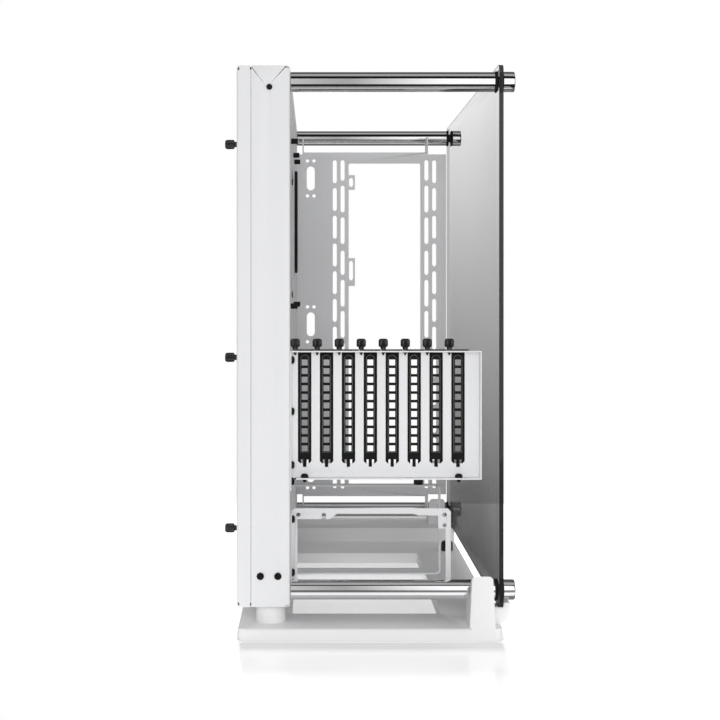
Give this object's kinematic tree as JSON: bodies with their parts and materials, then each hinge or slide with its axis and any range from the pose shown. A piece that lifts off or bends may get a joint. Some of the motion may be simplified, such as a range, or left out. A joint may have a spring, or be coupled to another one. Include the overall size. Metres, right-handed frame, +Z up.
{
  "type": "open air test bench",
  "caption": "Open-frame computer case: a flat steel body on a low stand, a glass side panel on chrome rods, and slot, radiator and power supply brackets.",
  "frame": {"origin": "on the floor, midway along the overall length and width", "axes": "+Z up, +X from the steel body towards the glass, -Y towards the narrow rear side seen in the picture"},
  "size_m": [0.2672, 0.5098, 0.5261],
  "materials": {
    "white_steel": "satin powder coat",
    "white_plastic": "satin",
    "black_steel": "satin black",
    "black_paint": "satin black",
    "black_plastic": "matt",
    "black_rubber": "matt",
    "chrome": "polished",
    "tinted_glass": "clear grey",
    "port_steel": "bright",
    "board": "satin"
  },
  "bodies": {
    "bench": {"audio_jack": "black_plastic", "back_cover": "white_steel", "board_standoffs": "black_steel", "cable_grommet": "black_rubber", "cap_far_low": "chrome", "cap_far_top": "chrome", "cap_near_low": "chrome", "cap_near_top": "chrome", "column_far": "white_plastic", "column_near": "white_plastic", "cover_rail_far": "white_steel", "cover_rail_near": "white_steel", "cover_thumbscrews": "black_steel", "drive_bracket_lower": "white_steel", "drive_bracket_upper": "white_steel", "far_side_screws": "black_steel", "glass_panel": "tinted_glass", "inner_washers": "black_rubber", "main_tray": "white_steel", "near_side_screws": "black_steel", "outer_washers": "black_rubber", "port_board": "board", "port_panel": "white_plastic", "power_bracket": "white_steel", "power_bracket_screws": "black_steel", "power_strap": "white_steel", "radiator_bracket": "white_steel", "radiator_bracket_screws": "black_steel", "rod_far_low": "chrome", "rod_far_top": "chrome", "rod_near_low": "chrome", "rod_near_top": "chrome", "rod_screws": "black_steel", "slot_bracket": "white_steel", "slot_bracket_foot_screws": "black_steel", "slot_bracket_screws": "black_steel", "slot_cover_1": "black_paint", "slot_cover_2": "black_paint", "slot_cover_3": "black_paint", "slot_cover_4": "black_paint", "slot_cover_5": "black_paint", "slot_cover_6": "black_paint", "slot_cover_7": "black_paint", "slot_cover_8": "black_paint", "slot_thumbscrews": "black_steel", "small_port": "port_steel", "stand": "white_plastic", "stand_feet": "black_rubber", "stand_knob": "black_plastic", "strap_knob": "black_plastic", "strap_screw": "black_steel", "usb_port_lower": "port_steel", "usb_port_upper": "port_steel"},
    "power": {"power_button": "white_plastic"},
    "reset": {"reset_button": "white_plastic"}
  },
  "joints": [
    {"name": "power_press", "type": "slide", "parent": "bench", "child": "power", "axis": [0, -1, 0], "range_m": [0, 0.0015], "stiffness_N_per_m": 700, "springref_m": -0.0005},
    {"name": "reset_press", "type": "slide", "parent": "bench", "child": "reset", "axis": [0, -1, 0], "range_m": [0, 0.0015], "stiffness_N_per_m": 400, "springref_m": -0.0005}
  ]
}
